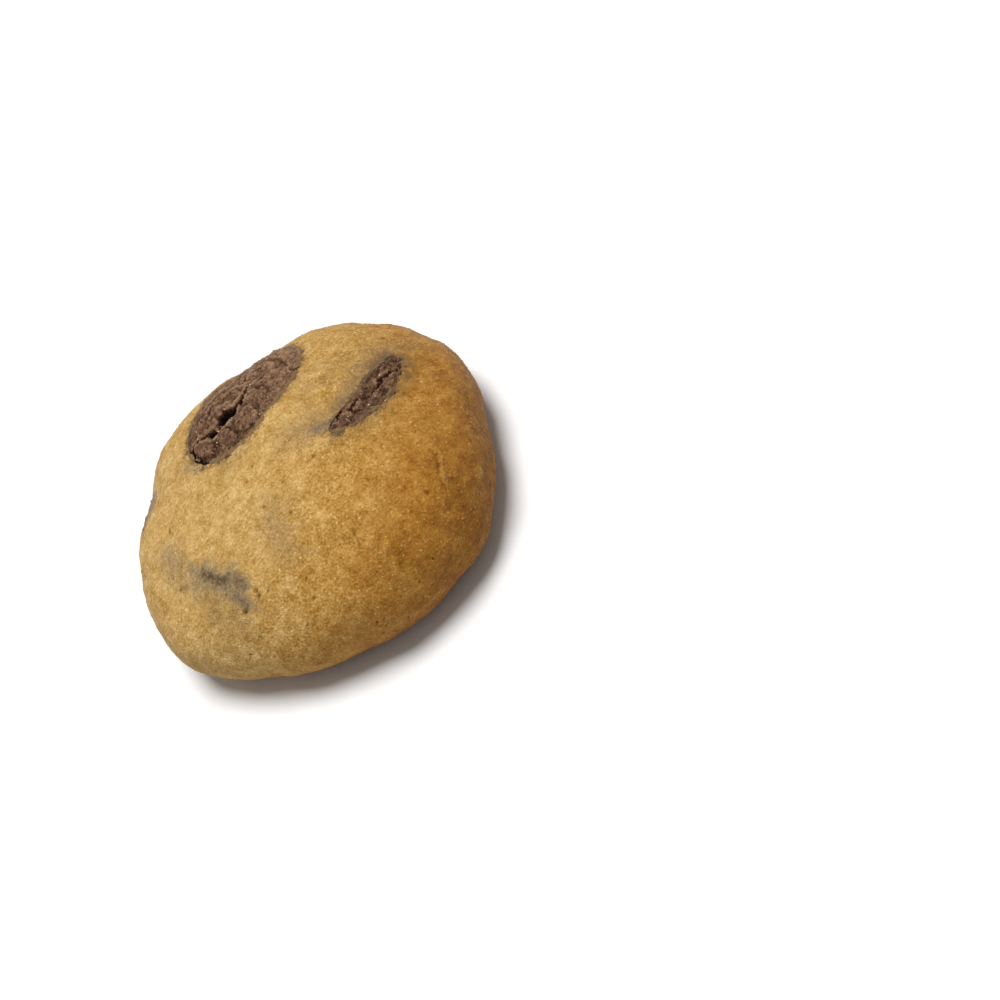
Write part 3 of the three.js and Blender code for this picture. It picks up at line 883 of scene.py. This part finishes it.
def solid_faces(skin_count, rings, faces, edge):
    """The skin's faces, then rings of faces down to the lowest point, which is the last one."""
    loop = len(edge)
    starts = [skin_count + k * loop for k in range(rings)]
    loops = [edge] + [list(range(first, first + loop)) for first in starts]
    following = [ring[1:] + ring[:1] for ring in loops]
    for k in range(rings):
        faces += zip(loops[k], loops[k + 1], following[k + 1], following[k])
    lowest = skin_count + rings * loop
    return faces + list(zip(loops[-1], [lowest] * loop, following[-1]))


def skin_relief(chunk, x, y, top, seed):
    """The skin's level over the crust, its cracks' depth, and how far off the nearest crack is."""
    inside = np.maximum(1 - x * x - y * y, 0)
    body = smooth_step(0, 0.25, inside) * (1 - 0.6 * smooth_step(0.45, 0.85, y))
    calm = 1 - 0.45 * smooth_step(0.2, -0.3, y) - 0.35 * smooth_step(0.2, 0.6, y)
    shift_x, shift_y = (
        0.5 * rough(top, 1.3, own) + 0.25 * rough(top, 0.45, own + 1, 2) for own in (seed, seed + 2)
    )
    shaken_x = x + shift_x / chunk.half_length
    shaken_y = y + shift_y / chunk.half_width
    crack, off = along_paths(chunk, chunk.cracks, shaken_x, shaken_y)
    fold, _ = along_paths(chunk, chunk.folds, shaken_x, shaken_y)
    level = chunk_level(chunk, x, y) + body * (lobe_rise(chunk, shaken_x, shaken_y) + fold - crack)
    level -= chunk.far_dip * smooth_step(0.3, 0.75, y) * bell(x - 0.25, 0.4)
    bumpy = np.stack([x * chunk.half_length, y * chunk.half_width, 0 * x], 1)
    bumpy += np.stack([shift_x, shift_y, 0 * x], 1) * 0.8
    level += body * WAVES[1] * rough(top, WAVES[0], seed + 4, 2)
    level += body * calm * LUMPS[1] * pebbly(bumpy, LUMPS[0], seed + 5)
    level += body * calm * PEBBLES[1] * pebbly(bumpy, PEBBLES[0], seed + 6)
    level += smooth_step(0, 0.12, inside) * SKIN_GRAIN[1] * rough(top, SKIN_GRAIN[0], seed + 7, 2)
    flakes = smooth_step(0.0, 0.25, y) * rough(bumpy / FLAKE_SIZE, 1.0, seed + 8, 2)
    return level + body * FLAKE_RISE * flakes, crack, off


def skin_values(chunk, x, y, top, seed, level, crack, off):
    """Each value that the finish or the crumbs need: over the skin, and on the hidden underside."""
    shape = (chunk.along + 1, chunk.across + 1)
    # Raised places get a higher value and sunken ones a lower, which the finish paints lighter and darker:
    # painted highlight and painted shade, beside each chunk's own lightness.
    proud = level - averaged(level.reshape(shape), PROUD_REACH).ravel()
    grain = np.clip(proud / PROUD_FULL, -1.5, 1.5) + chunk.tone + chunk.tone_along * x
    grain += chunk.tone_far * smooth_step(0.25, 0.7, y)
    outside = outside_of(chunk, x, y)
    bare = bell(off, CRUMBS_REACH)
    rim_film = smooth_step(-chunk.rim, 0.2, outside + 0.9 * rough(top, 1.1, seed + 9))
    film = np.maximum(rim_film, (1 - bare) * (chunk.veil + 0.5 * rough(top, 2.6, seed + 10, 2)))
    return {
        "film": (np.clip(film, 0, 1), 1),
        "flour": (chunk.flour * (0.25 + 0.75 * smooth_step(0.25, -0.45, y)), 0),
        # The cracks' depth, which the finish paints as shade.
        "sunk": (np.clip(crack / CRACK_DARK, 0, 1), 0),
        "grain": (grain, 0),
        "pocket": (np.maximum(smooth_step(-0.6, -0.2, outside), 1 - 0.9 * bare), 1),
    }


def chunk_mesh(name, chunk, seed):
    grid_x, grid_y = chunk_grid(chunk)
    plan = plan_of(chunk, grid_x, grid_y, SKIN_UNDER_CRUST)
    top, out = crust_over(plan)
    x, y = shares_of(chunk, plan)
    level, crack, off = skin_relief(chunk, x, y, top, seed)
    faces, edge = grid_faces(chunk.along, chunk.across)
    rings, lowest = bowl(chunk, grid_x[edge], grid_y[edge])
    skin = kept_inside(top + out * level[:, None], SKIN_SPARE)
    everything = np.vstack([skin, *rings, lowest])
    mesh = bpy.data.meshes.new(f"{name}_chunk")
    mesh.from_pydata(everything.tolist(), [], solid_faces(len(top), len(rings), faces, edge))
    mesh.polygons.foreach_set("use_smooth", [True] * len(mesh.polygons))
    hidden = len(everything) - len(top)
    on_skin = skin_values(chunk, x, y, top, seed, level, crack, off)
    for label, (values, under) in on_skin.items():
        put_values(mesh, label, np.append(values, np.full(hidden, under)))
    mesh.validate()
    mesh.update()
    return mesh


chunk_meshes = {
    name: chunk_mesh(name, chunk, 20 + 10 * k) for k, (name, chunk) in enumerate(CHUNKS.items())
}
for name, mesh in chunk_meshes.items():
    print(name, "chunk:", len(mesh.polygons), "faces")

# %% [markdown]
# ## Crumbs
#
# Close up, the crust is sand: thousands of grains of sugar and flour, each up to half a millimetre
# wide and half sunk. One grain is a ball of twenty flat faces, pressed down, because sugar has facets.
# Geometry Nodes scatter it over the crust, no two closer than a set spacing, and give each a turn, a
# size and a tint of its own. The points take over the crust's attributes, so a grain is as browned as
# what it sits on. The same tree scatters finer grains on the chunks, near their cracks.

# %% The crumbs' node tree
CRUMB_INPUTS = {
    "Spacing": 0.5,
    "Density": 1.9,
    "Least Radius": 0.12,
    "Greatest Radius": 0.28,
    "Flatness": 0.42,
    "Sink": 0.45,
    "Lowest": 1.2,
    "Seed": 3,
}


def random_value(tree, least, greatest, seed):
    made = node(tree, "FunctionNodeRandomValue", data_type="FLOAT")
    for slot, item in zip(("Min", "Max", "Seed"), (least, greatest, seed)):
        sockets = [socket for socket in made.inputs if socket.name == slot and socket.enabled]
        feed(sockets[0], item)
    return Quantity(next(socket for socket in made.outputs if socket.enabled))


def kept_value(tree, name):
    made = node(tree, "GeometryNodeInputNamedAttribute", {"Name": name}, data_type="FLOAT")
    return Quantity(made.outputs["Attribute"])


def crumb_tree(name, material):
    tree, entry, size = new_form(name, CRUMB_INPUTS, takes_mesh=True)
    height = parts_of(tree, node(tree, "GeometryNodeInputPosition").outputs[0])[2]
    free = (1 - kept_value(tree, "pocket")) * maths("GREATER_THAN", height, size["Lowest"])
    spread = {
        "Mesh": entry.outputs["Geometry"], "Distance Min": size["Spacing"],
        "Density Max": size["Density"], "Density Factor": free, "Seed": size["Seed"],
    }
    points = node(tree, "GeometryNodeDistributePointsOnFaces", spread, distribute_method="POISSON")
    radius = random_value(tree, size["Least Radius"], size["Greatest Radius"], 1)
    with_tint = stored_as(tree, points.outputs["Points"], "tint", random_value(tree, -1.0, 1.0, 2))
    with_radius = stored_as(tree, with_tint, "crumb_radius", radius)
    own_radius = kept_value(tree, "crumb_radius")
    flat_radius = own_radius * size["Flatness"]
    down = scaled(tree, points.outputs["Normal"], flat_radius * size["Sink"] * -1)
    sunk = moved_to(tree, with_radius, Offset=down)
    tip = [random_value(tree, -0.3, 0.3, seed) for seed in (4, 5)]
    spin = combined(tree, *tip, random_value(tree, 0.0, 6.28, 6))
    turning = {"Rotation": points.outputs["Rotation"], "Rotate By": spin}
    turned = node(tree, "FunctionNodeRotateRotation", turning, rotation_space="LOCAL").outputs[0]
    stretch = random_value(tree, 0.75, 1.25, 7)
    scale = combined(tree, own_radius * stretch, own_radius / stretch, flat_radius)
    ball = node(tree, "GeometryNodeMeshIcoSphere", {"Radius": 1.0, "Subdivisions": 1})
    each = {"Points": sunk, "Instance": ball.outputs["Mesh"], "Rotation": turned, "Scale": scale}
    crumbs = node(tree, "GeometryNodeInstanceOnPoints", each)
    close_form(tree, crumbs.outputs[0], material, False)
    return tree


# %% Scatter the crumbs
FINE_CRUMBS = {
    "Spacing": 0.36, "Density": 4.0, "Least Radius": 0.07, "Greatest Radius": 0.18, "Flatness": 0.6,
}
CRUMB_FACES = 20
chocolate_finish = bpy.data.materials.new("baked_chocolate")
dough_form = crumb_tree("dough_crumbs_form", dough_finish)
chocolate_form = crumb_tree("chocolate_crumbs_form", chocolate_finish)
scattered = {
    "dough_crumbs": mesh_from_tree(dough_form, "dough_crumbs", {}, crust_mesh),
    "large_chunk_crumbs": mesh_from_tree(
        chocolate_form, "large_chunk_crumbs", FINE_CRUMBS, chunk_meshes["large"]
    ),
    "slit_chunk_crumbs": mesh_from_tree(
        chocolate_form, "slit_chunk_crumbs", {**FINE_CRUMBS, "Seed": 8}, chunk_meshes["slit"]
    ),
}
for name, mesh in scattered.items():
    print(name, len(mesh.polygons) // CRUMB_FACES, "crumbs")

# %% [markdown]
# ## Finishes
#
# The crust's colour is a ramp from pale to golden to brown, led by the stored browning. Noise at four
# sizes makes it lighter and darker. Browned sugar soaks up blue first, then green, so the three shares
# of the shade are raised to different powers, and a darker grain is also a redder one. Specks of sugar
# catch the light, chocolate under the crust greys it, and a weak sheen stands for the floury bloom
# that pales the crust at its edges. Pinholes, the crease and the splits are darkened in colour as
# painted shade. All of it reads Object coordinates, so it holds still.

# %% Shader helpers
def fresh_material(material):
    material.use_nodes = True
    tree = material.node_tree
    tree.nodes.clear()
    shader = node(tree, "ShaderNodeBsdfPrincipled")
    output = node(tree, "ShaderNodeOutputMaterial", {"Surface": shader.outputs[0]})
    output.is_active_output = True
    place = node(tree, "ShaderNodeTexCoord").outputs["Object"]
    in_mm = node(tree, "ShaderNodeMapping", {"Vector": place, "Scale": (1 / MM,) * 3})
    return tree, shader, in_mm.outputs[0]


def grain_value(tree, place, size, detail=2.0, roughness=0.55):
    inputs = {"Vector": place, "Scale": 1 / size, "Detail": detail, "Roughness": roughness}
    return Quantity(node(tree, "ShaderNodeTexNoise", inputs).outputs[0])


def stored(tree, name):
    return Quantity(node(tree, "ShaderNodeAttribute", attribute_name=name).outputs["Fac"])


def between(tree, value, low_edge, high_edge):
    """0 under the low edge and 1 over the high one."""
    inputs = {"Value": value, "From Min": low_edge, "From Max": high_edge}
    mapped = node(tree, "ShaderNodeMapRange", inputs, interpolation_type="SMOOTHSTEP")
    return Quantity(mapped.outputs["Result"])


def mixed(tree, share, first, second, blend="MIX"):
    made = node(tree, "ShaderNodeMix", data_type="RGBA", blend_type=blend)
    for slot, item in zip((0, 6, 7), (share, first, second)):
        feed(made.inputs[slot], item)
    return made.outputs[2]


def painted(tree, colour, layers):
    """Each layer's colour laid over what is there, by its share."""
    for share, layer in layers:
        colour = mixed(tree, share, colour, (*layer, 1))
    return colour


def ramp(tree, value, stops):
    made = node(tree, "ShaderNodeValToRGB", {"Fac": value})
    elements = made.color_ramp.elements
    while len(elements) < len(stops):
        elements.new(1.0)
    for element, (position, colour) in zip(elements, stops):
        element.position = position
        element.color = (*colour, 1)
    return made.outputs[0]


def bumped(tree, shader, height, depth):
    bump = node(tree, "ShaderNodeBump", {"Height": height, "Distance": depth * MM, "Strength": 1.0})
    tree.links.new(bump.outputs[0], shader.inputs["Normal"])


def set_values(shader, **values):
    for name, value in values.items():
        shader.inputs[name.replace("_", " ")].default_value = value


# %% Baked dough
PALE = (0.477, 0.299, 0.098)
GOLDEN = (0.416, 0.227, 0.052)
AMBER = (0.342, 0.150, 0.020)
DEEP_BROWN = (0.262, 0.103, 0.010)
SUGAR = (0.80, 0.60, 0.30)
# Painted shade for the deepest pinholes, crease and splits.
PAINTED_PIT_SHADE = (0.05, 0.022, 0.008)
SLATE_VEIL = (0.125, 0.110, 0.086)
STAIN = (0.080, 0.055, 0.030)
SMEAR_BROWN = (0.105, 0.056, 0.020)
THIN_OVER_CHUNK = (0.145, 0.088, 0.040)
GREEN_SHARE = 1.36
BLUE_SHARE = 2.5


def toasted(tree, shade):
    """A lighter or darker grade of dough: browning takes the most blue and the least red."""
    shade = maths("MAXIMUM", shade, 0.5)
    shares = {"Red": shade, "Green": shade**GREEN_SHARE, "Blue": shade**BLUE_SHARE}
    return node(tree, "ShaderNodeCombineColor", shares).outputs[0]


def dough_material(material):
    tree, shader, place = fresh_material(material)
    cloud = grain_value(tree, place, 6.0, 2.0)
    mottle = grain_value(tree, place, 2.6, 3.0)
    blotch = grain_value(tree, place, 1.1, 2.0)
    sand = grain_value(tree, place, 0.38, 3.0, 0.6)
    crystal = maths("MAXIMUM", stored(tree, "tint"), 0.0)
    browning = stored(tree, "browning")
    flaky = stored(tree, "flaky")
    crisp = 0.80 + maths("EXPONENT", (browning - 0.42) ** 2 * -16.0) * 0.40
    tone = browning - (cloud - 0.5) * 0.3 - (mottle - 0.5) * 0.35 - (blotch - 0.5) * 0.15 - flaky * 0.4
    colour = ramp(tree, tone, [(0.0, PALE), (0.42, GOLDEN), (0.8, AMBER), (1.0, DEEP_BROWN)])
    # The stored grain is the crust's relief height, so raised grain is a little lighter: a faint painted
    # highlight.
    fine = ((sand - 0.5) * 1.3 + stored(tree, "grain") * 0.03 + crystal * 0.40) * crisp
    shade = 0.97 + fine + (blotch - 0.5) * 0.6 + (mottle - 0.5) * 0.55 + (cloud - 0.5) * 0.10
    colour = mixed(tree, 1.0, colour, toasted(tree, shade), "MULTIPLY")
    fleck = between(tree, sand + crystal * 0.14, 0.62, 0.76) * (1 - browning * 0.4) * 0.42
    soft = 0.95 + (grain_value(tree, place, 0.9, 2.0) - 0.5) * 1.4
    speckle = (grain_value(tree, place, 0.45, 3.0) - 0.5) * 1.7
    smear = stored(tree, "smear") * soft
    border = between(tree, stored(tree, "halo") + speckle, 0.28, 0.85)
    layers = [(fleck, SUGAR), (flaky * 0.45, PALE), (smear, SMEAR_BROWN), (border, THIN_OVER_CHUNK)]
    colour = painted(tree, colour, layers)
    cocoa = stored(tree, "cocoa")
    slate = mixed(tree, between(tree, cocoa, 0.6, 0.95), (*SLATE_VEIL, 1), (*STAIN, 1))
    colour = mixed(tree, cocoa * (0.98 + speckle * 1.1), colour, slate)
    # Painted shade: pinholes, the crease and the splits are darkened in colour, the deepest nearly to
    # black-brown.
    pit_shade = stored(tree, "pit_shade")
    colour = mixed(tree, 1.0, colour, toasted(tree, 1 - pit_shade * 0.6), "MULTIPLY")
    colour = painted(tree, colour, [(pit_shade**2, PAINTED_PIT_SHADE)])
    feed(shader.inputs["Base Color"], colour)
    set_values(shader, Roughness=0.8, Specular_IOR_Level=0.12)
    set_values(shader, Sheen_Weight=0.10, Sheen_Roughness=0.5, Sheen_Tint=(1.0, 0.93, 0.80, 1))
    bumped(tree, shader, sand + blotch, 0.17)


dough_material(dough_finish)

# %% Baked chocolate
# The light end of this ramp is partly dust and partly a painted highlight on raised places.
TAUPE = (0.126, 0.063, 0.030)
COCOA = (0.036, 0.015, 0.007)
DUST_AND_HIGHLIGHT = (0.29, 0.172, 0.100)
# Painted shade in the cracks: red-brown in the shallow ones, near black in the deep ones.
CRACK_SHADE_RED = (0.050, 0.014, 0.004)
CRACK_SHADE_BLACK = (0.002, 0.001, 0.0006)
THIN_DOUGH = (0.190, 0.114, 0.051)
FLOURY = (0.33, 0.235, 0.135)
# A painted glint: a few crumbs near the cracks are coloured light, as if they caught the light.
PAINTED_GLINT = (0.70, 0.58, 0.48)


def chocolate_material(material):
    tree, shader, place = fresh_material(material)
    patches = grain_value(tree, place, 1.8, 3.0)
    dust = grain_value(tree, place, 0.34, 3.0, 0.65)
    tint = stored(tree, "tint")
    # The stored grain paints raised places lighter and sunken ones darker (painted highlight and shade);
    # dust and patches are the chocolate's own.
    peak = stored(tree, "grain") * 0.50 + tint * 0.25 + (dust - 0.5) * 2.8 + (patches - 0.5) * 1.8
    colour = ramp(tree, peak * 0.5 + 0.5, [(0.1, COCOA), (0.55, TAUPE), (1.0, DUST_AND_HIGHLIGHT)])
    film = between(tree, stored(tree, "film") + (dust - 0.5) * 2.2 + (patches - 0.5) * 0.8, 0.35, 0.95)
    sunk = stored(tree, "sunk")
    # Of these layers, the two crack colours are painted shade that deepens with the crack.
    colour = painted(tree, colour, [
        (film, THIN_DOUGH),
        (stored(tree, "flour") * (0.8 + (dust - 0.5)), FLOURY),
        (between(tree, sunk, 0.08, 0.34), CRACK_SHADE_RED),
        (between(tree, sunk, 0.30, 0.70), CRACK_SHADE_BLACK),
        # A painted glint on a few crumbs.
        (between(tree, tint, 0.74, 0.90) * 0.7, PAINTED_GLINT),
    ])
    feed(shader.inputs["Base Color"], colour)
    feed(shader.inputs["Roughness"], 0.5 + between(tree, sunk, 0.2, 0.8) * 0.45)
    set_values(shader, Specular_IOR_Level=0.12)
    bumped(tree, shader, dust + patches, 0.18)


chocolate_material(chocolate_finish)
for mesh in chunk_meshes.values():
    mesh.materials.append(chocolate_finish)
print("finishes:", [material.name for material in bpy.data.materials])

# %% [markdown]
# ## Objects in the frame
#
# The meshes are still in millimetres round the cookie's own middle. One matrix brings them to metres
# and to the imported model's place, so every object itself stays at the origin. Each then rides on the
# only body and stands for the imported node that it dresses.

# %% Place the pieces
TO_FRAME = Matrix.Translation((MIDDLE[0] * MM, MIDDLE[1] * MM, 0)) @ Matrix.Scale(MM, 4)


def piece(name, mesh, slot_name, *nodes):
    mesh.transform(TO_FRAME)
    mesh.name = name
    made = in_scene(name, mesh)
    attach(made, "root")
    if nodes:
        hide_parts(*nodes)


piece("cookie_crust", crust_mesh, "baked_dough", "cookie_dough")
for name, mesh in chunk_meshes.items():
    piece(f"{name}_chunk", mesh, "chocolate", f"chocolate_chunk_{name}")
piece("dough_crumbs", scattered["dough_crumbs"], "baked_dough")
piece("large_chunk_crumbs", scattered["large_chunk_crumbs"], "chocolate")
piece("slit_chunk_crumbs", scattered["slit_chunk_crumbs"], "chocolate")
bpy.data.meshes.remove(smooth_crust)

# %% [markdown]
# ## Floor, light and camera
#
# The cookie lies on a plain pale floor, under one broad soft light from above and an even white
# surround. The camera looks down on it at 45 degrees with the picture turned by as much, so that the
# round cookie shows as a slanting oval, low on the left of the frame.

# %% Floor and light
FLOOR_HALF = 1.5  # metres, as for the light
LAMP_PLACE = Vector((0.03, 0.06, 0.64))
LAMP_SIZE = 0.34
LAMP_POWER = 4.8
LAMP_AIM = Vector((0, 0, 0.01))
SURROUND = 0.27


def floor_plate():
    corners = [(FLOOR_HALF * x, FLOOR_HALF * y, 0) for x, y in ((-1, -1), (1, -1), (1, 1), (-1, 1))]
    mesh = bpy.data.meshes.new("floor")
    mesh.from_pydata(corners, [], [(0, 1, 2, 3)])
    material = bpy.data.materials.new("pale_floor")
    _, shader, _ = fresh_material(material)
    set_values(shader, Base_Color=(0.82, 0.82, 0.82, 1), Roughness=0.9)
    mesh.materials.append(material)
    in_scene("floor", mesh)


floor_plate()
lamp = bpy.data.lights.new("overhead", "AREA")
lamp.shape = "DISK"
lamp.size = LAMP_SIZE
lamp.energy = LAMP_POWER
overhead = in_scene("overhead", lamp)
overhead.location = LAMP_PLACE
overhead.rotation_euler = (LAMP_AIM - LAMP_PLACE).to_track_quat("-Z", "Y").to_euler()
world = bpy.data.worlds.new("even_surround")
bpy.context.scene.world = world
world.use_nodes = True
set_values(world.node_tree.nodes["Background"], Color=(1, 1, 1, 1), Strength=SURROUND)
bpy.context.scene.view_settings.view_transform = "Standard"
print("one lamp of", LAMP_POWER, "W over the floor")

# %% Camera
LENS = 70.0
SENSOR = 36.0
PICTURE = 1000
TILT = math.radians(45)
ROLL = math.radians(45)
CAMERA_AWAY = 299.0
AIM_PIXEL = (302.43, 485.22)  # where the cookie's middle lies in the picture


def camera_matrix():
    back = Vector((0, -math.cos(TILT), math.sin(TILT)))
    right = Vector((1, 0, 0))
    up = back.cross(right)
    turned_right = right * math.cos(ROLL) - up * math.sin(ROLL)
    turned_up = right * math.sin(ROLL) + up * math.cos(ROLL)
    axes = Matrix((turned_right, turned_up, back)).transposed()
    focal = LENS / SENSOR * PICTURE
    sight = Vector(((AIM_PIXEL[0] - PICTURE / 2) / focal, (PICTURE / 2 - AIM_PIXEL[1]) / focal, -1))
    off_axis = Vector((0, 0, -1)).rotation_difference(sight.normalized()).to_matrix()
    turn = (axes @ off_axis.transposed()).to_4x4()
    aim = Vector((MIDDLE[0], MIDDLE[1], HEIGHT / 2))
    return Matrix.Translation((aim + back * CAMERA_AWAY) * MM) @ turn


lens = bpy.data.cameras.new("view")
lens.lens = LENS
lens.sensor_width = SENSOR
lens.clip_start = 0.01
camera = in_scene("view", lens)
camera.matrix_world = camera_matrix()
bpy.context.scene.camera = camera
print("camera at", [round(v, 3) for v in camera.location])
